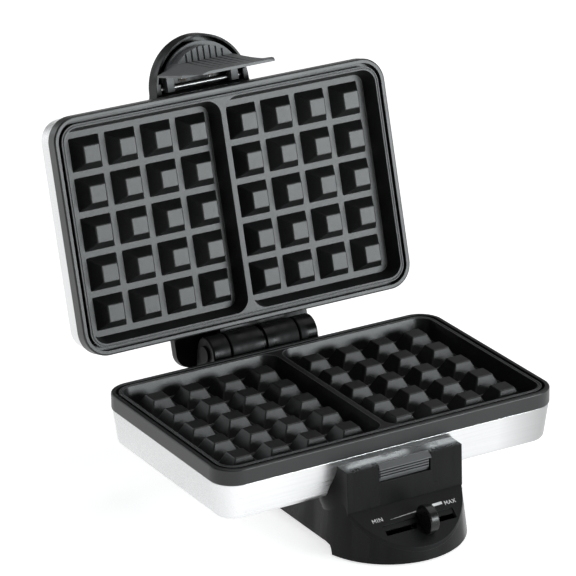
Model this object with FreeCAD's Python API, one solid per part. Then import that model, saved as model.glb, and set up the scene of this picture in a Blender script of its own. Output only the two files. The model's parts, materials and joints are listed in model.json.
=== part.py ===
import FreeCAD, Part
import math
import os

# Two-slice waffle maker. Two shallow metal trays, each with a black rim and a cast grid plate, are
# joined at the back by a hinge. The lower tray sits on a long black pedestal, whose front carries
# the browning control and the catch for the lid's latch.
# Everything is built with the lid closed, in millimetres: +X is the user's right, +Y is the back,
# +Z is up, z = 0 is the table and x = y = 0 is the middle of the trays. The lid's nodes are then
# swung open, and all nodes are moved so that the origin is the bottom centre of the whole box.

V = FreeCAD.Vector
UP = V(0, 0, 1)
ACROSS = V(1, 0, 0)
BACK = V(0, 1, 0)
origin = V(0, 0, 0)

# Driving dimensions
rim_width = 237.4
rim_depth = 150.2
rim_corner = 16.0
base_rim_height = 10.5
lid_rim_height = 9.5
mate_z = 70.0                # height of the plane where the two halves meet
half_gap = 0.2               # each rim stops this far short of that plane
lip = 2.9                    # width of the rim's upstanding lip
draft = math.tan(math.radians(8))
base_shell_depth = 24.0
base_shell_edge = 4.0
lid_shell_depth = 18.3
lid_shell_edge = 5.0
shell_inset = 0.4
sheet = 1.0

post_pitch = 25.0
inner_column = 18.3          # from the middle of the plate to the first column of posts
columns = 4
rows = 5
post_foot = 21.0
post_top = 11.0
post_height = 10.0
plate_gap = 0.4              # the plate's flange stops this far short of the mating plane
cavity_depth = 11.5
cavity_floor = 3.0

hinge_y = 88.2
hinge_z = mate_z - 0.8
knuckle_r = 11.0
pin_r = 3.0
running_gap = 0.05
open_angle = 104.85

pedestal_r = 48.0
pedestal_front = -66.5       # centre of the round front foot
pedestal_back = 118.0
pedestal_corner = 22.0
pedestal_draft = 0.12
pedestal_top = mate_z - base_rim_height - base_shell_depth
wall = 2.6
foot_gap = 0.8               # the moulding's edge clears the table by this much
arch_height = 7.4

panel_y = -86.6              # foot of the upright front panel
panel_top_y = -85.8
panel_foot_z = 29.2
panel_top_z = 55.5
panel_half = 40.3
slope = 36.3                 # tilt of the control panel
slot_x = 1.6
slot_y = -101.3
slot_half = 24.0
knob_rest = 4.6              # the browning knob's place along its slot
spindle_reach = 26.0
visor_r = 33.2               # at the cup's open edge, widening by visor_flare to its back
visor_flare = 0.8
visor_wall = 1.5
visor_y = -75.0
visor_low = mate_z + 22.5
visor_high = mate_z + 34.0
latch_pin_y = -77.5
latch_pin_z = mate_z + 27.0
visor_tail_y = -60.0
lid_top_z = mate_z + lid_rim_height + lid_shell_depth
handle_screw_x = 24.0
handle_screw_y = -63.6
lens_r = 3.2
lens_x = 10.0
lens_y = -90.0
groove_pitch = 4.3
latch_pin_r = 1.48
pin_hole_r = latch_pin_r + running_gap

rear_top = 46.0
flank_foot_z = 18.0
flank_levels = [(flank_foot_z, 4.6), (30.0, 5.8), (38.0, 6.6), (46.0, 3.2), (panel_top_z + 2, 0.8)]
cover_z = 7.6
foot_plate_z = 2.0
gland_r = 6.0
gland_z = 22.0
cover_fixings = [(-34, -50), (34, -50), (-34, 58), (34, 58)]
tray_fixings = [(-30, -20), (30, -20), (-30, 50), (30, 50)]
foot_spots = [(-25, -88), (25, -88), (-29, 98), (29, 98)]
catch_half = 18.0
catch_high = panel_top_z + 0.2
catch_low = mate_z - 26.0
catch_back = panel_top_y + 3.2
nose_y = -86.9
nose_z = mate_z - 17.25

knob_r = 9.0
knob_centre = 4.5
stem_half = 2.7
peg_r = 1.5
spindle_r = 3.0
fork_low = -8.2
fork_thickness = 1.6
selector_ratio = 33.85       # radians of spindle per metre of slide
fork_angle = math.degrees(selector_ratio * (knob_rest - slot_x) / 1000)

cover_half = 48.5
hinge_cover_y1 = 98.0
stop_gap = 0.15
barrel_half = 24.5


# ---- Shape helpers ----

def box(x0, x1, y0, y1, z0, z1):
    return Part.makeBox(x1 - x0, y1 - y0, z1 - z0, V(x0, y0, z0))


def rod(radius, start, end):
    return Part.makeCylinder(radius, (end - start).Length, start, end - start)


def fuse(shapes):
    joined = shapes[0].multiFuse(shapes[1:]) if len(shapes) > 1 else shapes[0]
    return joined.removeSplitter()


def cut(shape, tools):
    return shape.cut(Part.makeCompound(tools)) if len(tools) == 1 else shape.cut(tools)


def face_of(points):
    return Part.Face(Part.makePolygon(points + [points[0]]))


def prism_x(profile, x0, x1):
    return face_of([V(x0, y, z) for y, z in profile]).extrude(V(x1 - x0, 0, 0))


def prism_y(profile, y0, y1):
    return face_of([V(x, y0, z) for x, z in profile]).extrude(V(0, y1 - y0, 0))


def prism_z(profile, z0, z1):
    return face_of([V(x, y, z0) for x, y in profile]).extrude(V(0, 0, z1 - z0))


def rounded_wire(x0, x1, y0, y1, radius, z):
    """A rectangle with round corners, at height z."""
    r = radius
    k = r * (1 - math.sqrt(0.5))
    corners = [
        (V(x1, y1 - r, z), V(x1 - k, y1 - k, z), V(x1 - r, y1, z)),
        (V(x0 + r, y1, z), V(x0 + k, y1 - k, z), V(x0, y1 - r, z)),
        (V(x0, y0 + r, z), V(x0 + k, y0 + k, z), V(x0 + r, y0, z)),
        (V(x1 - r, y0, z), V(x1 - k, y0 + k, z), V(x1, y0 + r, z)),
    ]
    edges = []
    for i, (a, b, c) in enumerate(corners):
        edges.append(Part.Arc(a, b, c).toShape())
        edges.append(Part.makeLine(c, corners[(i + 1) % 4][0]))
    return Part.Wire(edges)


def rounded_slab(half_x, half_y, radius, z0, z1):
    outline = rounded_wire(-half_x, half_x, -half_y, half_y, radius, z0)
    return Part.Face(outline).extrude(V(0, 0, z1 - z0))


def drafted(x0, x1, y0, y1, radius, z0, z1, inset):
    """A round-cornered block whose sides lean in by inset from z0 to z1."""
    first = rounded_wire(x0, x1, y0, y1, radius, z0)
    last = rounded_wire(x0 + inset, x1 - inset, y0 + inset, y1 - inset, max(radius - inset, 1.0), z1)
    return Part.makeLoft([first, last], True, True)


def edges_where(shape, test):
    found = []
    for edge in shape.Edges:
        spots = [edge.valueAt(edge.FirstParameter + (edge.LastParameter - edge.FirstParameter) * t)
                 for t in (0.05, 0.5, 0.95)]
        if all(test(p) for p in spots):
            found.append(edge)
    return found


def fillet(shape, radius, test):
    return shape.makeFillet(radius, edges_where(shape, test))


def close(a, b):
    return abs(a - b) < 0.02


def tube(points, bend, radius):
    """A round bar along straight runs joined by tangent arcs."""
    edges = []
    start = points[0]
    for before, corner, after in zip(points, points[1:], points[2:]):
        into = (corner - before).normalize()
        away = (after - corner).normalize()
        half_turn = into.getAngle(away) / 2
        reach = bend * math.tan(half_turn)
        arc_start = corner - into * reach
        arc_end = corner + away * reach
        inward = (away - into).normalize()
        middle = corner + inward * (bend / math.cos(half_turn) - bend)
        edges.append(Part.makeLine(start, arc_start))
        edges.append(Part.Arc(arc_start, middle, arc_end).toShape())
        start = arc_end
    edges.append(Part.makeLine(start, points[-1]))
    section = Part.Wire(Part.makeCircle(radius, points[0], points[1] - points[0]))
    return Part.Wire(edges).makePipeShell([section], True, False)


def flipped(shape):
    """The lower half's shape as its upper twin, mirrored in the mating plane."""
    return shape.mirror(V(0, 0, mate_z), UP)


def screw(head_r, head_h, shank_r, length, top, down):
    """A pan-head screw: top is the middle of the head's underside, and down is where it points."""
    head = rod(head_r, top, top - down * head_h)
    head = head.makeFillet(head_h * 0.45, [e for e in head.Edges if close(e.BoundBox.Center.dot(down),
                           (top - down * head_h).dot(down)) and len(e.Vertexes) == 1])
    slot = box(-0.45, 0.45, -head_r, head_r, -0.01, head_h * 0.5)
    slot.Placement = FreeCAD.Placement(top - down * head_h, FreeCAD.Rotation(UP, down))
    return fuse([head.cut(slot), rod(shank_r, top, top + down * length)])


# ---- Trays: rims, shells, grid plates ----

half_x = rim_width / 2
half_y = rim_depth / 2
rim_low = mate_z - base_rim_height
plate_x = half_x - lip - 2.0
plate_y = half_y - lip - 2.0
plate_top = mate_z - plate_gap
cavity_bottom = plate_top - cavity_depth
plate_bottom = cavity_bottom - cavity_floor
ledge_drop = 5.0             # the ledge lies this far below the mating plane
skirt_inset = 3.3
element_r = 3.0
reflector_z = plate_bottom - 2 * element_r - 0.8
strap_z = plate_bottom - 7.7
strap_thickness = 1.2
plate_fixings = [(sx * 72.0, sy * 42.0) for sx in (-1, 1) for sy in (-1, 1)]


def rim(height):
    """The black frame around a tray: a flat ledge inside an upstanding lip."""
    low = mate_z - height
    top = mate_z - half_gap
    body = rounded_slab(half_x, half_y, rim_corner, low, top)
    body = fillet(body, 0.8, lambda p: close(p.z, low))
    body = fillet(body, 1.0, lambda p: close(p.z, top))
    skirt = rounded_slab(half_x - skirt_inset, half_y - skirt_inset, rim_corner - skirt_inset,
                         low - 4.0, low + 1.0)
    body = fuse([body, skirt])
    groove = rounded_slab(half_x - lip, half_y - lip, rim_corner - lip, mate_z - ledge_drop, mate_z)
    inside = rounded_slab(plate_x - 0.4, plate_y - 0.4, rim_corner - 5.3, low - 5.0, mate_z)
    return cut(body, [groove, inside])


def shell(rim_height, depth, edge_r):
    """A pressed tray, open at the top, with leaning sides and a round bottom edge."""
    low = mate_z - rim_height

    def block(shrink, z_bottom, radius):
        half_w = half_x - shell_inset - shrink
        half_d = half_y - shell_inset - shrink
        corner = rim_corner - shell_inset - shrink
        inset = (low - z_bottom) * draft
        solid = drafted(-half_w, half_w, -half_d, half_d, corner, low, z_bottom, inset)
        return fillet(solid, radius, lambda p: close(p.z, z_bottom))
    bottom = low - depth
    outer = block(0, bottom, edge_r)
    inner = block(sheet, bottom + sheet, edge_r - sheet)
    return outer, outer.cut(inner)


def base_shell_blank():
    return shell(base_rim_height, base_shell_depth, base_shell_edge)


def lid_shell_blank():
    """The lid's tray as (solid outline, hollow sheet), already turned over."""
    outer, sheet_tray = shell(lid_rim_height, lid_shell_depth, lid_shell_edge)
    return flipped(outer), flipped(sheet_tray)


def post(x, y):
    """One square, tapered post of the waffle grid, with softened edges."""
    foot = post_foot / 2
    top = post_top / 2
    z1 = cavity_bottom + post_height
    low = Part.makePolygon([V(-foot, -foot, cavity_bottom), V(foot, -foot, cavity_bottom),
                            V(foot, foot, cavity_bottom), V(-foot, foot, cavity_bottom),
                            V(-foot, -foot, cavity_bottom)])
    high = Part.makePolygon([V(-top, -top, z1), V(top, -top, z1), V(top, top, z1), V(-top, top, z1),
                             V(-top, -top, z1)])
    solid = Part.makeLoft([low, high], True, True)
    soft_edges = [e for e in solid.Edges if e.BoundBox.ZLength > 1 or e.BoundBox.ZMin > z1 - 0.1]
    solid = solid.makeFillet(0.9, soft_edges)
    inner = foot - 1
    root = box(-inner, inner, -inner, inner, cavity_bottom - 1, cavity_bottom + 0.5)
    solid = fuse([solid, root])
    solid.translate(V(x, y, 0))
    return solid


def grid_plate():
    block = drafted(-plate_x, plate_x, -plate_y, plate_y, rim_corner - 4.9, plate_top, plate_bottom, 3.4)
    line_out = rounded_slab(plate_x - 0.8, plate_y - 0.8, rim_corner - 5.7, plate_top - 0.5, mate_z)
    line_in = rounded_slab(plate_x - 1.4, plate_y - 1.4, rim_corner - 6.3, plate_top - 1.0, mate_z + 1)
    block = block.cut(line_out.cut(line_in))
    near = 1.8
    far = plate_x - 2.1
    side = plate_y - 2.4
    for sign in (-1, 1):
        x0, x1 = sorted((sign * near, sign * far))
        cavity = drafted(x0, x1, -side, side, 9.5, plate_top, cavity_bottom, 3.3)
        block = block.cut(cavity)
    posts = []
    for sign in (-1, 1):
        for i in range(columns):
            for j in range(rows):
                x = sign * (inner_column + i * post_pitch)
                posts.append(post(x, (j - (rows - 1) / 2) * post_pitch))
    bosses = [rod(4.5, V(x, y, plate_bottom + 0.5), V(x, y, strap_z)) for x, y in plate_fixings]
    holes = [rod(1.6, V(x, y, strap_z - 1), V(x, y, strap_z + 8)) for x, y in plate_fixings]
    return cut(fuse([block] + posts + bosses), holes)


def straps():
    """Two steel straps, welded across the tray, that hold the grid plate."""
    made = []
    fall = mate_z - lid_rim_height - strap_z + strap_thickness
    half_length = half_x - shell_inset - sheet - fall * draft - 0.3
    for sign in (-1, 1):
        y = sign * 42.0
        bar = box(-half_length, half_length, y - 6, y + 6, strap_z - strap_thickness, strap_z)
        holes = [rod(1.9, V(x, y, strap_z - 2), V(x, y, strap_z + 1)) for x in (-72.0, 72.0)]
        made.append(cut(bar, holes))
    return Part.makeCompound(made)


def plate_screws():
    under = strap_z - strap_thickness
    return Part.makeCompound([screw(3.4, 2.0, 1.55, 7.0, V(x, y, under), UP) for x, y in plate_fixings])


def heating_element():
    z = plate_bottom - element_r
    points = [V(-10, -30, z), V(-88, -30, z), V(-88, 30, z), V(88, 30, z), V(88, -30, z), V(10, -30, z)]
    bar = tube(points, 16.0, element_r)
    pins = [rod(1.4, V(sx * 10, -30, z), V(sx * 3.5, -30, z)) for sx in (-1, 1)]
    return Part.makeCompound([fuse([bar] + pins)])


def reflector():
    """A shallow bright tray under the element, which sends its heat up into the plate."""
    z = reflector_z
    outer = rounded_slab(98, 58, 12, z - 0.6, z + 2.4)
    inner = rounded_slab(97.4, 57.4, 11.4, z, z + 3)
    holes = [rod(5.2, V(x, y, z - 2), V(x, y, z + 2)) for x, y in plate_fixings]
    lead_window = box(-9, 9, -36, -24, z - 2, z + 2)
    return cut(outer, [inner, lead_window] + holes)


# ---- Pedestal ----

def pedestal_block(shrink, z0, z1):
    """The pedestal's outline, round in front and square behind, drafted from z0 to z1."""
    def outline(z):
        r = pedestal_r - pedestal_draft * z - shrink
        back = pedestal_back - pedestal_draft * z - shrink
        c = pedestal_corner - shrink
        k = c * (1 - math.sqrt(0.5))
        front = V(0, pedestal_front - r, z)
        right, left = V(r, pedestal_front, z), V(-r, pedestal_front, z)
        edges = [
            Part.Arc(left, front, right).toShape(),
            Part.makeLine(right, V(r, back - c, z)),
            Part.Arc(V(r, back - c, z), V(r - k, back - k, z), V(r - c, back, z)).toShape(),
            Part.makeLine(V(r - c, back, z), V(-r + c, back, z)),
            Part.Arc(V(-r + c, back, z), V(-r + k, back - k, z), V(-r, back - c, z)).toShape(),
            Part.makeLine(V(-r, back - c, z), left),
        ]
        return Part.Wire(edges)
    return Part.makeLoft([outline(z0), outline(z1)], True, True)


def tilted(shape):
    """From the control panel's own frame (x along the slot, y up the slope, z out) to its place."""
    moved = shape.copy()
    moved.rotate(origin, ACROSS, slope)
    moved.translate(V(0, slot_y, slot_z))
    return moved


slot_z = panel_foot_z - (panel_y - slot_y) * math.tan(math.radians(slope))
panel_thickness = 2.0
crease_v = (panel_y - slot_y) / math.cos(math.radians(slope))


def front_plan(shrink, bulge, z):
    """The front housing's outline at height z: flat in front, with flanks that swell by bulge."""
    half = panel_half - shrink
    flank = [V(half, panel_y + 0.8, z), V(half + 0.3 * bulge, -79.0, z), V(half + 0.8 * bulge, -72.5, z),
             V(half + bulge, -64.0, z)]
    mirrored = [V(-p.x, p.y, p.z) for p in reversed(flank)]
    curves = []
    for points in (flank, mirrored):
        curve = Part.BSplineCurve()
        curve.interpolate(points)
        curves.append(curve.toShape())
    front = -91.0
    corners = [mirrored[-1], V(-half, front, z), V(half, front, z), flank[0]]
    fore = [Part.makeLine(a, b) for a, b in zip(corners, corners[1:])]
    return Part.Wire([curves[0], Part.makeLine(flank[-1], mirrored[0]), curves[1]] + fore)


def front_block(shrink):
    """The upright part of the front housing, between the foot and the rim."""
    s = shrink
    top = panel_top_z - s
    side = prism_x([(panel_y + s, panel_foot_z), (panel_top_y + s, top), (-64, top + 0.6),
                    (-64, flank_foot_z + s), (panel_y + s, flank_foot_z + s)], -60, 60)
    plan = Part.makeLoft([front_plan(s, bulge, z) for z, bulge in flank_levels], True, False)
    return side.common(plan)


def stop_height(y):
    """Height of the pad that the open lid's back face rests on, at depth y."""
    lean = math.radians(open_angle)
    reach = hinge_cover_y1 - hinge_y
    up_face = (y - hinge_y - reach * math.cos(lean)) / math.sin(lean)
    return hinge_z - reach * math.sin(lean) + up_face * math.cos(lean) - stop_gap


def pedestal():
    outer_shell = base_shell_blank()[0]
    slab_above = tilted(box(-80, 80, -80, crease_v, -panel_thickness, 60))
    body = pedestal_block(0, foot_gap, pedestal_top)
    body = body.cut(box(-60, 60, -130, panel_y + 1.0, panel_foot_z, 60))
    rear = pedestal_block(0, foot_gap, rear_top).common(box(-60, 60, 60, 130, 0, rear_top))
    rear = fillet(rear, 4.0, lambda p: close(p.z, rear_top) and p.y > 61)
    towers = []
    for sign in (-1, 1):
        x0, x1 = sorted((sign * 25.0, sign * 38.0))
        web = prism_x([(hinge_y - knuckle_r + 1.0, rear_top - 4), (hinge_y - knuckle_r + 0.3, hinge_z),
                       (hinge_y + knuckle_r - 0.3, hinge_z), (hinge_y + 14.0, rear_top - 4)], x0, x1)
        disc = rod(knuckle_r, V(x0, hinge_y, hinge_z), V(x1, hinge_y, hinge_z))
        disc = disc.makeFillet(1.2, [e for e in disc.Edges if len(e.Vertexes) == 1])
        outward = V(sign * 38.0, hinge_y, hinge_z)
        boss = rod(5.4, outward - V(sign * 1, 0, 0), outward + V(sign * 1.6, 0, 0))
        towers += [web, disc, boss]
    stop_pad = prism_x([(103.0, rear_top - 2), (103.0, stop_height(103.0)), (108.5, stop_height(108.5)),
                        (108.5, rear_top - 2)], -14, 14)
    body = fuse([body, front_block(0), rear, stop_pad] + towers)
    body = cut(body, [outer_shell, slab_above])

    inner = pedestal_block(wall, -1, pedestal_top - wall)
    inner = inner.cut(tilted(box(-80, 80, -80, crease_v - 1.0, -panel_thickness, 60)))
    inner = inner.cut(box(-60, 60, -130, panel_y + wall, panel_foot_z - 2.2, 60))
    inner_rear = pedestal_block(wall, -1, rear_top - wall).common(box(-60, 60, 78, 130, -1, rear_top - wall))
    inner_front = front_block(wall).common(box(-60, 60, -90, -76, 10, 70))
    body = cut(body, [inner, inner_rear, inner_front])
    arch = prism_x([(-78.4, -1), (-76.9, 3.8), (-75.4, 6.2), (-71.0, arch_height), (75.0, arch_height),
                    (79.4, 6.2), (80.9, 3.8), (82.4, -1)], -60, 60)
    window = box(-24, 24, -56, -30, pedestal_top - 4, pedestal_top + 1)
    wire_hole = rod(5, V(0, 30, pedestal_top - 4), V(0, 30, pedestal_top + 1))
    gland_hole = rod(gland_r, V(0, pedestal_back - 10, gland_z), V(0, pedestal_back + 5, gland_z))
    pin_bores = rod(pin_r, V(-36.5, hinge_y, hinge_z), V(36.5, hinge_y, hinge_z))
    body = cut(body, [arch, window, wire_hole, gland_hole, pin_bores])
    catch_seat = box(-catch_half, catch_half, -90, catch_back, catch_low, panel_top_z + 3)
    body = body.cut(catch_seat)
    posts = []
    for x, y in cover_fixings:
        posts.append(rod(4.2, V(x, y, cover_z + 2), V(x, y, pedestal_top - wall + 0.5)))
    for x, y in tray_fixings:
        posts.append(rod(4.2, V(x, y, pedestal_top - 12), V(x, y, pedestal_top - wall + 0.5)))
    body = fuse([body] + posts)
    pilots = [rod(1.5, V(x, y, cover_z), V(x, y, cover_z + 14)) for x, y in cover_fixings]
    pilots += [rod(1.5, V(x, y, pedestal_top - 11), V(x, y, pedestal_top + 1)) for x, y in tray_fixings]
    return cut(body, pilots)


def pedestal_cover():
    """The stepped plate that closes the pedestal from below."""
    thick = 2.0
    profile = [(-120, foot_plate_z), (-75.0, foot_plate_z), (-71.5, cover_z), (72.0, cover_z),
               (78.0, foot_plate_z), (125, foot_plate_z), (125, foot_plate_z + thick),
               (79.5, foot_plate_z + thick), (73.0, cover_z + thick), (-72.5, cover_z + thick),
               (-76.5, foot_plate_z + thick), (-120, foot_plate_z + thick)]
    plate = prism_x(profile, -60, 60).common(pedestal_block(wall + 0.3, 0, 20))
    holes = [rod(1.9, V(x, y, 0), V(x, y, 20)) for x, y in cover_fixings]
    return cut(plate, holes)


def cover_screws():
    return Part.makeCompound([screw(3.4, 1.8, 1.45, 12, V(x, y, cover_z), UP) for x, y in cover_fixings])


def tray_screws():
    top = pedestal_top + sheet
    return Part.makeCompound([screw(3.4, 1.8, 1.45, 10, V(x, y, top), UP * -1) for x, y in tray_fixings])


def rubber_feet():
    made = []
    for x, y in foot_spots:
        pad = Part.makeCone(6.6, 7.5, foot_plate_z, V(x, y, 0), UP)
        pad = pad.makeFillet(0.6, [e for e in pad.Edges if e.BoundBox.ZMax < 0.1 and len(e.Vertexes) == 1])
        made.append(pad)
    return Part.makeCompound(made)


def latch_catch():
    """The insert in the front panel: a ramp whose nose the latch hooks under, and fine ribs below it."""
    recess_y = catch_back - 1.4
    ramp = prism_x([(catch_back, catch_high), (-84.4, catch_high), (nose_y, nose_z), (nose_y, nose_z - 0.5),
                    (recess_y, nose_z - 0.5), (recess_y, catch_low), (catch_back, catch_low)],
                   -catch_half, catch_half)
    ribs = []
    for i in range(3):
        z = nose_z - 2.4 - 1.7 * i
        ribs.append(box(-catch_half + 1.0, catch_half - 1.0, panel_y + 0.9, recess_y + 0.1,
                        z - 0.45, z + 0.45))
    return fuse([ramp] + ribs)


# ---- Browning control ----

def control_panel():
    slab = tilted(box(-80, 80, -80, crease_v, -panel_thickness, 0))
    plate = slab.common(pedestal_block(0, foot_gap, 36))
    recess = tilted(box(slot_x - slot_half - 0.6, slot_x + slot_half + 0.6, -1.9, 5.2, -0.7, 5))
    slot = tilted(box(slot_x - slot_half, slot_x + slot_half, -1.9, 1.9, -10, 5))
    return cut(plate, [recess, slot])


def browning_knob():
    """The slider's upright disc, cut flat where it meets the panel, and the stem through the slot."""
    disc = rod(knob_r, V(knob_rest - 3, 0, knob_centre), V(knob_rest + 3, 0, knob_centre))
    disc = disc.makeFillet(0.8, [e for e in disc.Edges if len(e.Vertexes) == 1])
    disc = disc.cut(box(-20, 20, -20, 20, -20, 0.4))
    stem = box(knob_rest - stem_half, knob_rest + stem_half, -1.4, 1.4, -4.6, 0.9)
    return tilted(fuse([disc, stem]))


def slider_carriage():
    plate = box(knob_rest - 4.6, knob_rest + 4.6, -2.6, 6, -4.6, -2.4)
    plate = plate.cut(box(knob_rest - stem_half, knob_rest + stem_half, -1.4, 1.4, -5, -2))
    bridge = box(knob_rest - 3.4, knob_rest + 3.4, -2.4, 2.4, -5.8, -4.6)
    peg = rod(peg_r, V(knob_rest, 0, -5), V(knob_rest, 0, -8.6))
    return tilted(fuse([plate, bridge, peg]))


def selector_fork():
    """The lever on the thermostat's spindle; its open fork holds the carriage's peg."""
    top = fork_low + fork_thickness
    hub = rod(5.6, V(0, 0, fork_low), V(0, 0, top))
    arm = box(-5.2, 5.2, -33.0, 0, fork_low, top)
    slot = box(-peg_r - 1.15, peg_r + 1.15, -40, -21.5, fork_low - 1, top + 1)
    hole = rod(spindle_r, V(0, 0, fork_low - 1), V(0, 0, top + 1))
    lever = cut(fuse([hub, arm]), [slot, hole])
    lever.rotate(origin, UP, fork_angle)
    lever.translate(V(slot_x, spindle_reach, 0))
    return tilted(lever)


def thermostat_spindle():
    shaft = rod(spindle_r, V(slot_x, spindle_reach, -14.0), V(slot_x, spindle_reach, -5.4))
    shaft = shaft.cut(box(slot_x - 5, slot_x + 5, spindle_reach - 0.4, spindle_reach + 0.4, -6.2, 0))
    return tilted(shaft)


def thermostat_body():
    case = rod(10.0, V(slot_x, spindle_reach, -17.5), V(slot_x, spindle_reach, -9.2))
    case = case.makeFillet(1.0, [e for e in case.Edges if len(e.Vertexes) == 1])
    bore = rod(spindle_r + running_gap, V(slot_x, spindle_reach, -14.2), V(slot_x, spindle_reach, 0))
    tabs = []
    for x in (slot_x - 12.5, slot_x + 12.5):
        tabs.append(box(x - 3, x + 3, spindle_reach - 2.5, spindle_reach + 2.5, -14, -13.2))
    return tilted(fuse([case.cut(bore)] + tabs))


def thermostat_bracket():
    sole = tilted(box(-11, 11, spindle_reach - 8, spindle_reach + 13, -18.7, -17.5))
    low = sole.BoundBox
    upright = box(-11, 11, low.YMax - 1.6, low.YMax - 0.4, low.ZMax - 1.6, pedestal_top - wall)
    return fuse([sole, upright])


# ---- Wiring inside the base ----

def terminal_block():
    block = box(-16, 16, 22, 34, cover_z + 2, cover_z + 13)
    wells = [rod(2.0, V(x, 28, cover_z + 8), V(x, 28, cover_z + 14)) for x in (-10, 0, 10)]
    return cut(block, wells)


def thermal_fuse():
    z = reflector_z - 3.8
    can = rod(2.2, V(14, -8, z), V(28, -8, z))
    leads = [rod(0.5, V(8, -8, z), V(14, -8, z)), rod(0.5, V(28, -8, z), V(34, -8, z))]
    return fuse([can] + leads)


def base_wires():
    z = cover_z + 5
    left = tube([V(-10, 22, z), V(-10, 0, z), V(-14, -40, z + 2), V(-14, -58, z + 4)], 6, 1.2)
    right = tube([V(10, 22, z), V(10, 0, z), V(14, -40, z + 2), V(14, -58, z + 4)], 6, 1.2)
    inlet = tube([V(0, pedestal_back - 12, gland_z), V(0, 80, gland_z), V(0, 60, z), V(0, 34.2, z)], 6, 2.4)
    loop_z = cover_z + 18
    rise = tube([V(0, 22, z), V(0, 15, z), V(0, 15, loop_z), V(0, 30, loop_z), V(0, 30, plate_bottom - 15)],
                3, 1.2)
    return Part.makeCompound([left, right, inlet, rise])


def cord_gland():
    y = pedestal_back - pedestal_draft * gland_z
    body = rod(gland_r - 0.05, V(0, y - wall - 3, gland_z), V(0, y + 1.2, gland_z))
    flange = rod(gland_r + 2.4, V(0, y - 0.5, gland_z), V(0, y + 2.6, gland_z))
    outer_edge = [e for e in flange.Edges if e.BoundBox.YMin > y + 2 and len(e.Vertexes) == 1]
    flange = flange.makeFillet(0.9, outer_edge)
    hole = rod(3.6, V(0, y - 10, gland_z), V(0, y + 10, gland_z))
    seated = flange.cut(pedestal_block(0, foot_gap, pedestal_top))
    return fuse([body, seated]).cut(hole)


# ---- Hinge ----

def hinge_pins():
    made = []
    for sign in (-1, 1):
        made.append(rod(pin_r, V(sign * 10.0, hinge_y, hinge_z), V(sign * 36.4, hinge_y, hinge_z)))
    return Part.makeCompound(made)


def lid_hinge_cover():
    """The black housing at the lid's back: a domed bridge and, hanging from it, the hinge barrel."""
    low = mate_z + 19.0
    high = mate_z + 31.0
    outline = rounded_wire(-cover_half, cover_half, 62.0, hinge_cover_y1, 9.5, low)
    body = Part.Face(outline).extrude(V(0, 0, high - low))
    body = fillet(body, 8.0, lambda p: close(p.z, high))
    body = body.cut(lid_shell_blank()[0])
    barrel = rod(knuckle_r, V(-barrel_half, hinge_y, hinge_z), V(barrel_half, hinge_y, hinge_z))
    barrel = barrel.makeFillet(1.0, [e for e in barrel.Edges if len(e.Vertexes) == 1])
    ring = rod(knuckle_r + 1, V(-1.4, hinge_y, hinge_z), V(1.4, hinge_y, hinge_z))
    core = rod(knuckle_r - 1.6, V(-2, hinge_y, hinge_z), V(2, hinge_y, hinge_z))
    barrel = barrel.cut(ring.cut(core))
    web_half = barrel_half - 1.0
    web = prism_x([(hinge_y - 8.0, hinge_z + 5), (hinge_y - 8.0, low + 2), (hinge_y + 8.5, low + 2),
                   (hinge_y + 8.5, hinge_z + 4)], -web_half, web_half)
    lug = box(-web_half, web_half, half_y + 0.1, hinge_y, mate_z + 3.0, mate_z + 9.0)
    bore = rod(pin_r + running_gap, V(-30, hinge_y, hinge_z), V(30, hinge_y, hinge_z))
    return fuse([body, web, lug, barrel]).cut(bore)


# ---- Lid handle and latch ----

def visor_wire(radius, z):
    """The cup's outline at height z: round in front, with legs that spread towards the lid."""
    tail_x = radius + 3.5
    left, right = V(-radius, visor_y, z), V(radius, visor_y, z)
    tail_l, tail_r = V(-tail_x, visor_tail_y, z), V(tail_x, visor_tail_y, z)
    front = Part.Arc(left, V(0, visor_y - radius, z), right).toShape()
    return Part.Wire([front, Part.makeLine(right, tail_r),
                      Part.makeLine(tail_r, tail_l), Part.makeLine(tail_l, left)])


def visor_block(shrink, z0, z1):
    def radius(z):
        return visor_r - shrink + visor_flare * (z - visor_low) / (visor_high - visor_low)
    return Part.makeLoft([visor_wire(radius(z0), z0), visor_wire(radius(z1), z1)], True, True)


def lid_handle():
    """The D-shaped cup over the lid's front edge, open below, with lugs for the latch's pin."""
    outer = fillet(visor_block(0, visor_low, visor_high), 2.5, lambda p: close(p.z, visor_high))
    inner = visor_block(visor_wall, visor_low - 1, visor_high - 2.6).cut(box(-60, 60, -74.6, -50, 0, 200))
    lugs = []
    for sign in (-1, 1):
        x0, x1 = sorted((sign * 29.6, sign * (visor_r - 0.6)))
        lugs.append(box(x0, x1, -81.5, -74.0, visor_low, visor_high - 2))
    body = fuse([outer.cut(inner)] + lugs).cut(lid_shell_blank()[0])
    pin_hole = rod(1.5, V(-visor_r + 1, latch_pin_y, latch_pin_z), V(visor_r - 1, latch_pin_y, latch_pin_z))
    lens_holes = [rod(lens_r, V(sx * lens_x, lens_y, visor_high - 4), V(sx * lens_x, lens_y, visor_high + 1))
                  for sx in (-1, 1)]
    pilots = [rod(1.5, V(sx * handle_screw_x, handle_screw_y, mate_z + 20),
                  V(sx * handle_screw_x, handle_screw_y, lid_top_z + 6)) for sx in (-1, 1)]
    return cut(body, [pin_hole] + lens_holes + pilots)


def handle_screws():
    """The two screws that hold the handle from inside the lid's tray."""
    seats = [V(sx * handle_screw_x, handle_screw_y, lid_top_z - sheet) for sx in (-1, 1)]
    return Part.makeCompound([screw(3.2, 1.6, 1.45, 6.0, seat, UP) for seat in seats])


def lamp_lens(sign):
    x = sign * lens_x
    body = rod(lens_r - 0.02, V(x, lens_y, visor_high - 2.4), V(x, lens_y, visor_high + 1.0))
    crown = [e for e in body.Edges if e.BoundBox.ZMin > visor_high + 0.5 and len(e.Vertexes) == 1]
    return body.makeFillet(0.9, crown)


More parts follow.
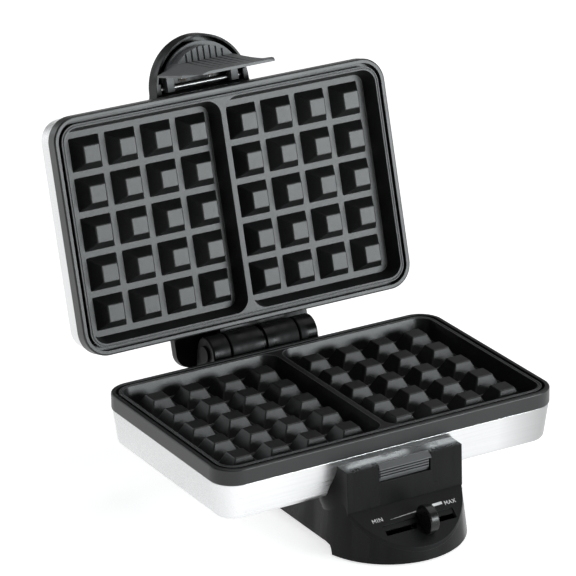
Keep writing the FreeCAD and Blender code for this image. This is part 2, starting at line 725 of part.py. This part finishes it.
def indicator_lamps():
    z = visor_high - 2.4 - 0.3 - 2.0
    made = []
    for sign in (-1, 1):
        x = sign * lens_x
        bulb = rod(2.0, V(x, lens_y - 4, z), V(x, lens_y + 5, z))
        leads = [rod(0.4, V(x + dx, lens_y + 4.5, z), V(x + dx, lens_y + 10, z)) for dx in (-1, 1)]
        made.append(fuse([bulb] + leads))
    return Part.makeCompound(made)


def latch_pin():
    reach = visor_r - 1.2
    return rod(latch_pin_r, V(-reach, latch_pin_y, latch_pin_z), V(reach, latch_pin_y, latch_pin_z))


def tongue_section(side_y, shoulder_y, front_y, z):
    """The tongue's outline seen from above: proud in the middle, thin at its sides."""
    points = [(-32.3, side_y), (-26.0, shoulder_y), (-20.5, front_y), (20.5, front_y), (26.0, shoulder_y),
              (32.3, side_y), (32.3, -80.0), (-32.3, -80.0)]
    corners = [V(x, y, z) for x, y in points]
    return Part.makePolygon(corners + [corners[0]])


def latch_lever():
    """The latch: a D-shaped plate in the cup, and a grooved tongue that hangs down to the catch."""
    plate_z = mate_z + 21.7
    front_z = mate_z + 15.5
    tip_z = mate_z - 29.0
    step_z = mate_z - 13.6
    front_y = -92.6
    tip_front_y = -89.4
    hook_y = -87.15
    back_y = -86.2
    plate = round_plate(28.8, -75.2, -85.6, plate_z, plate_z + 2.4)
    step = round_plate(26.6, -74.6, -86.0, front_z, plate_z + 1)

    def tongue_back(z):
        """The tongue's back face, which leans away from the front panel of the closed machine."""
        return -88.2 + (step_z - z) * 0.035

    upper = Part.makeLoft([tongue_section(-87.4, -89.4, front_y, front_z),
                           tongue_section(-87.4, -89.4, front_y, plate_z + 0.5)], True, True)
    middle = Part.makeLoft([tongue_section(-88.0, -89.2, -90.2, step_z),
                            tongue_section(-87.4, -89.4, front_y, front_z)], True, True)
    lower = Part.makeLoft([tongue_section(-88.4, -88.4, tip_front_y, tip_z),
                           tongue_section(-88.9, -89.2, -90.2, step_z)], True, True)
    wing_z = plate_z - 2.0
    half_plan = [(25.6, tip_z), (30.6, mate_z - 19.0), (32.3, mate_z - 13.0), (32.3, wing_z), (25.0, wing_z),
                 (24.0, plate_z + 1)]
    plan = prism_y(half_plan + [(-x, z) for x, z in reversed(half_plan)], -110, -60)
    side = prism_x([(-110.0, plate_z + 1), (-110.0, tip_z), (tongue_back(tip_z), tip_z),
                    (tongue_back(step_z), step_z), (back_y, mate_z - 12.6), (back_y, plate_z + 1)], -60, 60)
    hook = prism_x([(tongue_back(mate_z - 18.2) - 0.3, mate_z - 18.2), (hook_y, mate_z - 18.2),
                    (hook_y, mate_z - 19.4), (tongue_back(mate_z - 22.0) - 0.3, mate_z - 22.0)], -14.0, 14.0)
    tongue = fuse([fuse([upper, middle, lower]).common(plan).common(side), hook])
    ears = []
    for sign in (-1, 1):
        x0, x1 = sorted((sign * 20.5, sign * 25.5))
        ears.append(box(x0, x1, -88.5, latch_pin_y + 2.0, plate_z, latch_pin_z))
        ears.append(rod(2.7, V(x0, latch_pin_y, latch_pin_z), V(x1, latch_pin_y, latch_pin_z)))
    body = fuse([plate, step, tongue] + ears)
    groove_angle = math.degrees(math.atan2(tip_front_y - front_y, front_z - tip_z))
    grooves = []
    for i in range(-3, 4):
        x = i * groove_pitch
        run = box(x - 0.7, x + 0.7, front_y - 6, front_y + 1.0, mate_z - 30, front_z)
        run.rotate(V(0, front_y, front_z), ACROSS, groove_angle)
        run = run.common(box(-40, 40, -110, -80, mate_z - 19.5, front_z))
        rise = box(x - 0.7, x + 0.7, -110, front_y + 1.0, front_z - 1, front_z + 1.0)
        grooves += [run, rise]
    body = cut(body, grooves)
    pin_hole = rod(pin_hole_r, V(-40, latch_pin_y, latch_pin_z), V(40, latch_pin_y, latch_pin_z))
    return body.cut(pin_hole)


def round_plate(radius, centre_y, cut_y, z0, z1):
    """A round plate of that radius, flat along the line y = cut_y."""
    disc = Part.makeCylinder(radius, z1 - z0, V(0, centre_y, z0), UP)
    return disc.cut(box(-60, 60, cut_y, 0, z0 - 1, z1 + 1))


def lid_wires():
    """The element's and the lamps' leads, between the straps and the lid's sheet."""
    z = 2 * mate_z - strap_z + strap_thickness + 1.5
    pin_z = 2 * mate_z - plate_bottom + element_r
    made = []
    for sign in (-1, 1):
        made.append(tube([V(sign * 4, 66, z), V(sign * 4, 0, z), V(sign * 6.5, -30, z),
                          V(sign * 6.5, -30, pin_z + 1.8)], 2.0, 1.1))
        made.append(tube([V(sign * 9, 66, z), V(sign * 9, 20, z), V(sign * 14, -20, z), V(sign * 14, -64, z)],
                         6, 0.8))
    return Part.makeCompound(made)


# ---- All nodes ----

def base_shell():
    """The lower tray, with a window over the thermostat, a way for the leads, and its screw holes."""
    low = pedestal_top - 1
    high = pedestal_top + 3
    window = box(-22, 22, -54, -32, low, high)
    wire_way = rod(4.5, V(0, 30, low), V(0, 30, high))
    screw_ways = [rod(1.9, V(x, y, low), V(x, y, high)) for x, y in tray_fixings]
    return cut(base_shell_blank()[1], [window, wire_way] + screw_ways)


def lid_shell():
    """The upper tray, with the two holes for the handle's screws."""
    ways = [rod(1.9, V(sx * handle_screw_x, handle_screw_y, lid_top_z - 3),
                V(sx * handle_screw_x, handle_screw_y, lid_top_z + 1)) for sx in (-1, 1)]
    return cut(lid_shell_blank()[1], ways)


base_nodes = {
    "base_shell": base_shell(),
    "base_rim": rim(base_rim_height),
    "lower_grid_plate": grid_plate(),
    "lower_heating_element": heating_element(),
    "lower_heat_reflector": reflector(),
    "lower_plate_straps": straps(),
    "lower_plate_screws": plate_screws(),
    "pedestal": pedestal(),
    "pedestal_cover": pedestal_cover(),
    "cover_screws": cover_screws(),
    "tray_screws": tray_screws(),
    "rubber_feet": rubber_feet(),
    "latch_catch": latch_catch(),
    "control_panel": control_panel(),
    "thermostat_body": thermostat_body(),
    "thermostat_bracket": thermostat_bracket(),
    "terminal_block": terminal_block(),
    "thermal_fuse": thermal_fuse(),
    "base_wires": base_wires(),
    "cord_gland": cord_gland(),
    "hinge_pins": hinge_pins(),
    "browning_knob": browning_knob(),
    "slider_carriage": slider_carriage(),
    "thermostat_spindle": thermostat_spindle(),
    "selector_fork": selector_fork(),
}

lid_nodes = {
    "lid_shell": lid_shell(),
    "lid_rim": flipped(rim(lid_rim_height)),
    "upper_grid_plate": flipped(grid_plate()),
    "upper_heating_element": flipped(heating_element()),
    "upper_heat_reflector": flipped(reflector()),
    "upper_plate_straps": flipped(straps()),
    "upper_plate_screws": flipped(plate_screws()),
    "lid_wires": lid_wires(),
    "lid_hinge_cover": lid_hinge_cover(),
    "lid_handle": lid_handle(),
    "handle_screws": handle_screws(),
    "power_lamp_lens": lamp_lens(-1),
    "ready_lamp_lens": lamp_lens(1),
    "indicator_lamps": indicator_lamps(),
    "latch_pin": latch_pin(),
    "latch_lever": latch_lever(),
}

for shape in lid_nodes.values():
    shape.rotate(V(0, hinge_y, hinge_z), ACROSS, -open_angle)

nodes = {**base_nodes, **lid_nodes}
whole = Part.makeCompound(list(nodes.values())).optimalBoundingBox(True, False)
shift = V(0, -round((whole.YMin + whole.YMax) / 2, 2), 0)

os.makedirs("parts", exist_ok=True)
for name, shape in nodes.items():
    shape.translate(shift)
    shape.exportStep(f"parts/{name}.step")
    print(name, "valid", shape.isValid(), "solids", len(shape.Solids), round(shape.Volume / 1000, 2), "cm3")
print("box", whole, "shift", shift.y)
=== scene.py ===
import json
import math

import bpy
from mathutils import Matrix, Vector


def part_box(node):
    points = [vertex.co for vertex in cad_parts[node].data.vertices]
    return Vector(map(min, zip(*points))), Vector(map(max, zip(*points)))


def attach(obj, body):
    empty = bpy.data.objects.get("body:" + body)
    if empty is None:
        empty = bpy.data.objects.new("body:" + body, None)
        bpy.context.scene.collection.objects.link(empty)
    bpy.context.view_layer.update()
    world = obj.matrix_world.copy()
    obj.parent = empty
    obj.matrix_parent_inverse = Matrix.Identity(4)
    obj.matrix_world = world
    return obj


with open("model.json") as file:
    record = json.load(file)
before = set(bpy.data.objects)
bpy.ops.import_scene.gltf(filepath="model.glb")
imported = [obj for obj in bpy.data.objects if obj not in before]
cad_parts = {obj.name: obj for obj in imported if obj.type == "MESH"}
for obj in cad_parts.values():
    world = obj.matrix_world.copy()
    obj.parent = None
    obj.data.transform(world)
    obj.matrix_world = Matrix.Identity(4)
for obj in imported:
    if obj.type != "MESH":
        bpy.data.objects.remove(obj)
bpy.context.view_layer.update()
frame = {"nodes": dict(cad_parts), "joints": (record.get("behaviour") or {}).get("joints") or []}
scene = bpy.context.scene
scene.view_settings.view_transform = "Standard"
nodes = frame["nodes"]
joints = {joint["name"]: joint for joint in frame["joints"]}


# ---- Camera ----

hinge = Vector(joints["lid_hinge"]["pos_m"])
tray_middle = hinge + Vector((0, -0.0882, 0.0008))     # middle of the mating plane
azimuth = math.radians(-30.22)
elevation = math.radians(21.937)
roll = math.radians(-0.7645)
camera_data = bpy.data.cameras.new("camera")
camera_data.sensor_width = 36
camera_data.lens = 234.2
camera_data.clip_end = 20
camera = bpy.data.objects.new("camera", camera_data)
scene.collection.objects.link(camera)
back = Vector((math.sin(azimuth) * math.cos(elevation), -math.cos(azimuth) * math.cos(elevation),
               math.sin(elevation)))
level = Vector((math.cos(azimuth), math.sin(azimuth), 0))
upright = back.cross(level)
right = math.cos(roll) * level + math.sin(roll) * upright
up = math.cos(roll) * upright - math.sin(roll) * level
turn = camera.matrix_world.to_3x3()
turn.col[0] = right
turn.col[1] = up
turn.col[2] = back
place = turn.to_4x4()
place.translation = tray_middle + Vector((-1.082128, -1.807960, 0.914854))
camera.matrix_world = place
scene.camera = camera


# ---- Material tools ----

class Paint:
    """One procedural material: a Principled shader and short calls that add nodes to it."""

    def __init__(self, name, **values):
        self.material = bpy.data.materials.new(name)
        self.material.use_nodes = True
        self.tree = self.material.node_tree
        self.shader = self.tree.nodes["Principled BSDF"]
        for socket, value in values.items():
            self.shader.inputs[socket.replace("_", " ")].default_value = value
        self.place = self.add("ShaderNodeTexCoord").outputs["Object"]

    def add(self, kind, **settings):
        made = self.tree.nodes.new(kind)
        for key, value in settings.items():
            setattr(made, key, value)
        return made

    def feed(self, socket, value):
        if hasattr(value, "is_output"):
            self.tree.links.new(value, socket)
        else:
            socket.default_value = value

    def stretched(self, scale):
        mapping = self.add("ShaderNodeMapping")
        self.feed(mapping.inputs["Vector"], self.place)
        mapping.inputs["Scale"].default_value = scale
        return mapping.outputs["Vector"]

    def axis(self, letter):
        """One of the object's own coordinates."""
        made = self.add("ShaderNodeSeparateXYZ")
        self.feed(made.inputs[0], self.place)
        return made.outputs[letter]

    def noise(self, scale, detail=2.0, rough=0.5, stretch=None):
        made = self.add("ShaderNodeTexNoise")
        self.feed(made.inputs["Vector"], self.stretched(stretch) if stretch else self.place)
        made.inputs["Scale"].default_value = scale
        made.inputs["Detail"].default_value = detail
        made.inputs["Roughness"].default_value = rough
        return made.outputs["Fac"]

    def cells(self, scale):
        made = self.add("ShaderNodeTexVoronoi")
        self.feed(made.inputs["Vector"], self.place)
        made.inputs["Scale"].default_value = scale
        return made.outputs["Distance"]

    def span(self, value, low, high, out_low=0.0, out_high=1.0):
        made = self.add("ShaderNodeMapRange")
        self.feed(made.inputs["Value"], value)
        made.inputs["From Min"].default_value = low
        made.inputs["From Max"].default_value = high
        made.inputs["To Min"].default_value = out_low
        made.inputs["To Max"].default_value = out_high
        return made.outputs["Result"]

    def math(self, operation, first, second):
        made = self.add("ShaderNodeMath", operation=operation)
        self.feed(made.inputs[0], first)
        self.feed(made.inputs[1], second)
        return made.outputs[0]

    def mix(self, amount, first, second):
        made = self.add("ShaderNodeMix", data_type="RGBA")
        self.feed(made.inputs["Factor"], amount)
        self.feed(made.inputs["A"], first)
        self.feed(made.inputs["B"], second)
        return made.outputs["Result"]

    def worn_edges(self, radius):
        """1 on edges and 0 on flat faces: how far a rounded normal turns from the true one."""
        rounded = self.add("ShaderNodeBevel", samples=4)
        rounded.inputs["Radius"].default_value = radius
        true = self.add("ShaderNodeNewGeometry").outputs["Normal"]
        dot = self.add("ShaderNodeVectorMath", operation="DOT_PRODUCT")
        self.feed(dot.inputs[0], rounded.outputs["Normal"])
        self.feed(dot.inputs[1], true)
        return self.span(dot.outputs["Value"], 0.995, 0.85)

    def bump(self, height, distance, strength=1.0, edge=0.0):
        made = self.add("ShaderNodeBump")
        self.feed(made.inputs["Height"], height)
        made.inputs["Distance"].default_value = distance
        made.inputs["Strength"].default_value = strength
        if edge:
            rounded = self.add("ShaderNodeBevel", samples=6)
            rounded.inputs["Radius"].default_value = edge
            self.feed(made.inputs["Normal"], rounded.outputs["Normal"])
        self.feed(self.shader.inputs["Normal"], made.outputs["Normal"])

    def colour(self, value):
        self.feed(self.shader.inputs["Base Color"], value)

    def rough(self, value):
        self.feed(self.shader.inputs["Roughness"], value)


def grey(value, tint=0.0):
    """A grey of that linear value, a little bluer as tint grows."""
    return (value * (1 - tint), value, value * (1 + tint), 1)


# ---- Materials ----

def stainless():
    """Brushed steel with a painted reflection: its colour is a little darker towards the tray's two ends, and
    darker over its right half.
    """
    paint = Paint("stainless", Metallic=1.0)
    streaks = paint.noise(1.0, 3, 0.6, stretch=(9, 900, 900))
    clouds = paint.noise(11, 2)
    tone = paint.math("MULTIPLY", paint.span(streaks, 0.2, 0.8, 0.88, 1.0),
                      paint.span(clouds, 0.3, 0.7, 0.88, 1.0))
    across = paint.axis("X")
    left_side, left_corner = -0.119, -0.108
    middle, right_corner, right_side = -0.02, 0.075, 0.118
    # Painted reflection: these masks darken the steel's colour by position, slightly at the left end, across
    # the right half and strongly at the right end, in place of darker reflections there.
    painted_reflection_left_end = paint.span(across, left_side, left_corner, 0.76, 1.0)
    painted_reflection_right_half = paint.span(across, middle, 0.09, 1.0, 0.82)
    painted_reflection_right_end = paint.span(across, right_corner, right_side, 1.0, 0.25)
    tone = paint.math("MULTIPLY", tone, painted_reflection_left_end)
    tone = paint.math("MULTIPLY", tone, painted_reflection_right_half)
    tone = paint.math("MULTIPLY", tone, painted_reflection_right_end)
    paint.colour(paint.mix(tone, grey(0.16), grey(0.93, 0.008)))
    wear = paint.math("ADD", paint.span(streaks, 0.2, 0.8, 0.22, 0.32),
                      paint.span(clouds, 0.3, 0.7, 0.0, 0.05))
    paint.rough(wear)
    paint.bump(streaks, 0.00002, 0.5, edge=0.0004)
    return paint.material


def plastic(name, dark, light, gloss, grain=2600, depth=0.00003, specular=0.5, matt_bands=0.0):
    """Moulded plastic: spark-eroded grain, slow mottling, lighter rubbed edges, upright duller bands."""
    tint = 0.03
    edge = 0.0004
    paint = Paint(name, Specular_IOR_Level=specular)
    fine = paint.noise(grain, 3, 0.6)
    slow = paint.noise(30, 3)
    rubbed = paint.worn_edges(0.0007)
    body = paint.mix(paint.span(slow, 0.3, 0.7), grey(dark, tint), grey(light, tint))
    body = paint.mix(paint.span(fine, 0.35, 0.7, 0.0, 0.35), body, grey(light * 1.35, tint))
    paint.colour(paint.mix(paint.math("MULTIPLY", rubbed, 0.35), body, grey(light * 2.6, tint)))
    uneven = paint.math("ADD", paint.span(fine, 0.3, 0.7, gloss, gloss + 0.08),
                        paint.span(slow, 0.3, 0.7, 0.0, 0.05))
    if matt_bands:
        bands = paint.noise(1.0, 2, 0.5, stretch=(70, 70, 5))
        uneven = paint.math("ADD", uneven, paint.span(bands, 0.40, 0.62, 0.0, matt_bands))
    paint.rough(uneven)
    paint.bump(fine, depth, 0.6, edge=edge)
    return paint.material


def non_stick():
    paint = Paint("non_stick", Specular_IOR_Level=0.42)
    cast = paint.noise(1500, 4, 0.65)
    specks = paint.cells(1900)
    slow = paint.noise(40, 3)
    rubbed = paint.worn_edges(0.0006)
    body = paint.mix(paint.span(slow, 0.3, 0.7), grey(0.005, 0.02), grey(0.010, 0.02))
    body = paint.mix(paint.span(specks, 0.12, 0.02, 0.0, 0.5), body, grey(0.20, 0.02))
    body = paint.mix(paint.span(cast, 0.45, 0.75, 0.0, 0.45), body, grey(0.06, 0.02))
    paint.colour(paint.mix(paint.math("MULTIPLY", rubbed, 0.55), body, grey(0.34, 0.02)))
    paint.rough(paint.span(cast, 0.3, 0.7, 0.30, 0.42))
    paint.bump(cast, 0.00006, 0.7, edge=0.0005)
    return paint.material


def metal(name, dark, light, gloss, grain=900, stretch=None, tint=(0.0, 0.0)):
    """Bare or plated metal, with drawn or cast grain and slow tarnish."""
    paint = Paint(name, Metallic=1.0)
    fine = paint.noise(1.0 if stretch else grain, 4, 0.6, stretch=stretch)
    slow = paint.noise(45, 4, 0.6)
    body = paint.mix(paint.span(slow, 0.3, 0.7), grey(dark, tint[0]), grey(light, tint[1]))
    paint.colour(paint.mix(paint.span(fine, 0.3, 0.75, 0.0, 0.4), body, grey(light * 1.1, tint[1])))
    paint.rough(paint.math("ADD", paint.span(fine, 0.3, 0.7, gloss, gloss + 0.1),
                           paint.span(slow, 0.3, 0.7, 0.0, 0.08)))
    paint.bump(fine, 0.00002, 0.5, edge=0.0003)
    return paint.material


def lens(name, deep, bright):
    """Tinted clear plastic with moulded ribs inside."""
    paint = Paint(name, Transmission_Weight=0.55, IOR=1.49, Specular_IOR_Level=0.6)
    ribs = paint.noise(1.0, 1, 0.5, stretch=(2600, 300, 300))
    slow = paint.noise(260, 2)
    shade = paint.math("MULTIPLY", paint.span(ribs, 0.3, 0.7), paint.span(slow, 0.3, 0.7, 0.6, 1.0))
    paint.colour(paint.mix(shade, deep, bright))
    paint.rough(paint.span(slow, 0.3, 0.7, 0.08, 0.16))
    paint.bump(ribs, 0.00004, 0.4, edge=0.0003)
    return paint.material


def glass():
    paint = Paint("lamp_glass", Transmission_Weight=0.85, IOR=1.5)
    film = paint.noise(600, 3)
    paint.colour(paint.mix(paint.span(film, 0.3, 0.7), (0.80, 0.42, 0.25, 1), (0.95, 0.70, 0.50, 1)))
    paint.rough(paint.span(film, 0.3, 0.7, 0.04, 0.14))
    paint.bump(film, 0.00002, 0.3)
    return paint.material


def ceramic():
    paint = Paint("ceramic", Coat_Weight=0.3, Coat_Roughness=0.12)
    pores = paint.cells(1600)
    slow = paint.noise(70, 3)
    body = paint.mix(paint.span(slow, 0.3, 0.7), (0.70, 0.66, 0.58, 1), (0.82, 0.79, 0.72, 1))
    paint.colour(paint.mix(paint.span(pores, 0.10, 0.02, 0.0, 0.5), body, (0.40, 0.36, 0.30, 1)))
    paint.rough(paint.span(slow, 0.3, 0.7, 0.35, 0.5))
    paint.bump(pores, 0.00004, 0.4, edge=0.0003)
    return paint.material


def sleeve():
    paint = Paint("wire_insulation", Sheen_Weight=0.15)
    weave = paint.add("ShaderNodeTexWave", bands_direction="DIAGONAL")
    paint.feed(weave.inputs["Vector"], paint.place)
    weave.inputs["Scale"].default_value = 420
    weave.inputs["Distortion"].default_value = 3
    slow = paint.noise(80, 3)
    body = paint.mix(paint.span(slow, 0.3, 0.7), (0.55, 0.54, 0.50, 1), (0.74, 0.73, 0.69, 1))
    paint.colour(paint.mix(paint.span(weave.outputs["Fac"], 0.2, 0.9, 0.0, 0.4), body, (0.38, 0.37, 0.34, 1)))
    paint.rough(paint.span(slow, 0.3, 0.7, 0.55, 0.7))
    paint.bump(weave.outputs["Fac"], 0.0001, 0.5)
    return paint.material


def ink():
    """White pad printing, a little broken by the grain beneath it."""
    paint = Paint("white_ink")
    fine = paint.noise(2400, 3, 0.6)
    slow = paint.noise(220, 2)
    body = paint.mix(paint.span(slow, 0.3, 0.7), grey(0.62), grey(0.80))
    paint.colour(paint.mix(paint.span(fine, 0.62, 0.78, 0.0, 0.5), body, grey(0.25)))
    paint.rough(paint.span(fine, 0.3, 0.7, 0.4, 0.55))
    paint.bump(fine, 0.00002, 0.4)
    return paint.material


looks = {
    "stainless": stainless(),
    "black_plastic": plastic("black_plastic", 0.0015, 0.003, 0.18, grain=2200, depth=0.00001,
                             specular=0.17, matt_bands=0.30),
    "charcoal_plastic": plastic("charcoal_plastic", 0.010, 0.016, 0.30, specular=0.50),
    "panel_plastic": plastic("panel_plastic", 0.004, 0.007, 0.30, specular=0.13),
    "knob_plastic": plastic("knob_plastic", 0.004, 0.006, 0.22, grain=1500, depth=0.000006, specular=0.35),
    "latch_plastic": plastic("latch_plastic", 0.115, 0.150, 0.42, grain=2000, depth=0.00005),
    "catch_plastic": plastic("catch_plastic", 0.060, 0.085, 0.40, grain=1800, depth=0.00006),
    "non_stick": non_stick(),
    "element_sheath": metal("element_sheath", 0.10, 0.24, 0.42, grain=1200, tint=(-0.06, -0.03)),
    "reflector_sheet": metal("reflector_sheet", 0.62, 0.78, 0.20, stretch=(8, 700, 700)),
    "plated_steel": metal("plated_steel", 0.42, 0.62, 0.26, grain=1400, tint=(-0.02, 0.01)),
    "rubber": plastic("rubber", 0.014, 0.022, 0.68, grain=1300, depth=0.00006, specular=0.3),
    "lens_red": lens("lens_red", (0.28, 0.008, 0.005, 1), (0.75, 0.05, 0.03, 1)),
    "lens_green": lens("lens_green", (0.01, 0.20, 0.04, 1), (0.06, 0.62, 0.16, 1)),
    "lamp_glass": glass(),
    "ceramic": ceramic(),
    "wire_insulation": sleeve(),
    "fuse_can": metal("fuse_can", 0.50, 0.66, 0.24, stretch=(500, 12, 500)),
}

dressed = {
    "stainless": ["base_shell", "lid_shell"],
    "black_plastic": ["pedestal", "pedestal_cover", "lid_handle", "lid_hinge_cover"],
    "charcoal_plastic": ["base_rim", "lid_rim", "slider_carriage"],
    "catch_plastic": ["latch_catch"],
    "panel_plastic": ["control_panel"],
    "latch_plastic": ["latch_lever"],
    "knob_plastic": ["browning_knob"],
    "non_stick": ["lower_grid_plate", "upper_grid_plate"],
    "element_sheath": ["lower_heating_element", "upper_heating_element"],
    "reflector_sheet": ["lower_heat_reflector", "upper_heat_reflector"],
    "plated_steel": ["lower_plate_straps", "upper_plate_straps", "lower_plate_screws", "upper_plate_screws",
                     "cover_screws", "tray_screws", "handle_screws", "hinge_pins", "latch_pin",
                     "thermostat_bracket", "thermostat_spindle", "selector_fork"],
    "rubber": ["rubber_feet", "cord_gland"],
    "lens_red": ["power_lamp_lens"],
    "lens_green": ["ready_lamp_lens"],
    "lamp_glass": ["indicator_lamps"],
    "ceramic": ["thermostat_body", "terminal_block"],
    "wire_insulation": ["base_wires", "lid_wires"],
    "fuse_can": ["thermal_fuse"],
}
for look, names in dressed.items():
    for name in names:
        slots = nodes[name].data.materials
        slots.clear()
        slots.append(looks[look])


# ---- Printing on the control panel ----

panel_tilt = math.radians(36.3)
panel_thickness = 0.002
panel_low, panel_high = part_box("control_panel")
crease = Vector((0, panel_high.y - panel_thickness * math.sin(panel_tilt), panel_high.z))
along = Vector((1, 0, 0))
upward = Vector((0, math.cos(panel_tilt), math.sin(panel_tilt)))
outward = along.cross(upward)


def on_panel(across, down, lift):
    """A point on the control panel: across its middle, down the slope from its crease, above its face."""
    return crease + along * across - upward * down + outward * lift


def printed(name, vertices, faces):
    """A film of ink on the control panel, from points given as (across, down) in metres."""
    thickness = 0.00004
    points = [on_panel(x, d, thickness) for x, d in vertices]
    mesh = bpy.data.meshes.new(name)
    mesh.from_pydata(points, [], faces)
    mesh.materials.append(ink_look)
    made = bpy.data.objects.new(name, mesh)
    scene.collection.objects.link(made)
    film = made.modifiers.new("film", "SOLIDIFY")
    film.thickness = thickness * 1.5
    film.offset = 1
    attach(made, "base")
    return made


def stroke_word(name, word, left, middle, height, width):
    """Block letters drawn as strokes; each letter is a list of lines between corners of a unit box."""
    letters = {
        "M": [((0, 0), (0, 1)), ((0, 1), (0.5, 0.35)), ((0.5, 0.35), (1, 1)), ((1, 1), (1, 0))],
        "I": [((0.5, 0), (0.5, 1))],
        "N": [((0, 0), (0, 1)), ((0, 1), (1, 0)), ((1, 0), (1, 1))],
        "A": [((0, 0), (0.5, 1)), ((0.5, 1), (1, 0)), ((0.2, 0.38), (0.8, 0.38))],
        "X": [((0, 0), (1, 1)), ((0, 1), (1, 0))],
    }
    vertices = []
    faces = []
    pen = height * 0.16
    x = left
    for letter in word:
        step = width * (0.35 if letter == "I" else 1.0)
        for (x0, y0), (x1, y1) in letters[letter]:
            start = Vector((x + x0 * step, middle + height / 2 - y0 * height))
            end = Vector((x + x1 * step, middle + height / 2 - y1 * height))
            run = (end - start).normalized()
            side = Vector((-run.y, run.x)) * pen / 2
            cap = run * pen * 0.4
            first = len(vertices)
            vertices += [start - cap + side, start - cap - side, end + cap - side, end + cap + side]
            faces.append((first, first + 1, first + 2, first + 3))
        x += step + width * 0.42
    return printed(name, vertices, faces)


ink_look = ink()
stroke_word("print_min", "MIN", -0.0276, 0.0088, 0.0023, 0.0021)
stroke_word("print_max", "MAX", 0.0232, 0.0090, 0.0023, 0.0019)
scale_wedge = [(-0.0167, 0.0104), (0.0214, 0.0092), (0.0214, 0.0074), (0.0148, 0.0076), (0.0145, 0.0083)]
printed("print_scale", scale_wedge,
        [(0, 1, 2, 3, 4)])


# ---- Floor and light ----

def floor():
    half = 6.0
    mesh = bpy.data.meshes.new("floor")
    corners = [(-half, -half, 0), (half, -half, 0), (half, half, 0), (-half, half, 0)]
    mesh.from_pydata(corners, [], [(0, 1, 2, 3)])
    made = bpy.data.objects.new("floor", mesh)
    scene.collection.objects.link(made)
    paint = Paint("floor")
    soft = paint.noise(3, 2)
    paint.colour(paint.mix(soft, grey(0.80), grey(0.84)))
    paint.rough(0.9)
    paint.shader.inputs["Specular IOR Level"].default_value = 0.1
    paint.shader.inputs["Emission Color"].default_value = (1, 1, 1, 1)
    paint.shader.inputs["Emission Strength"].default_value = 0.68
    mesh.materials.append(paint.material)


def softbox(name, spot, target, width, height, power):
    data = bpy.data.lights.new(name, "AREA")
    data.shape = "RECTANGLE"
    data.size = width
    data.size_y = height
    data.energy = power
    data.color = (0.93, 0.985, 1.0)
    made = bpy.data.objects.new(name, data)
    made.location = spot
    made.rotation_euler = (Vector(target) - Vector(spot)).to_track_quat("-Z", "Y").to_euler()
    scene.collection.objects.link(made)


def sky():
    world = bpy.data.worlds.new("studio")
    scene.world = world
    world.use_nodes = True
    world.node_tree.nodes["Background"].inputs["Color"].default_value = (1, 1, 1, 1)
    world.node_tree.nodes["Background"].inputs["Strength"].default_value = 0.14


def sun(direction, strength, spread):
    data = bpy.data.lights.new("sun", "SUN")
    data.energy = strength
    data.angle = math.radians(spread)
    made = bpy.data.objects.new("sun", data)
    made.rotation_euler = Vector(direction).to_track_quat("Z", "Y").to_euler()
    scene.collection.objects.link(made)


floor()
sky()
sun((0.45, 0.15, 1.0), 1.0, 60)
softbox("front_right", (1.25, -2.0, 0.50), (0, 0.1, 0.17), 1.1, 0.7, 40)
softbox("back_left", (-1.1, 1.9, 0.8), (0, 0.1, 0.2), 1.6, 1.1, 10)
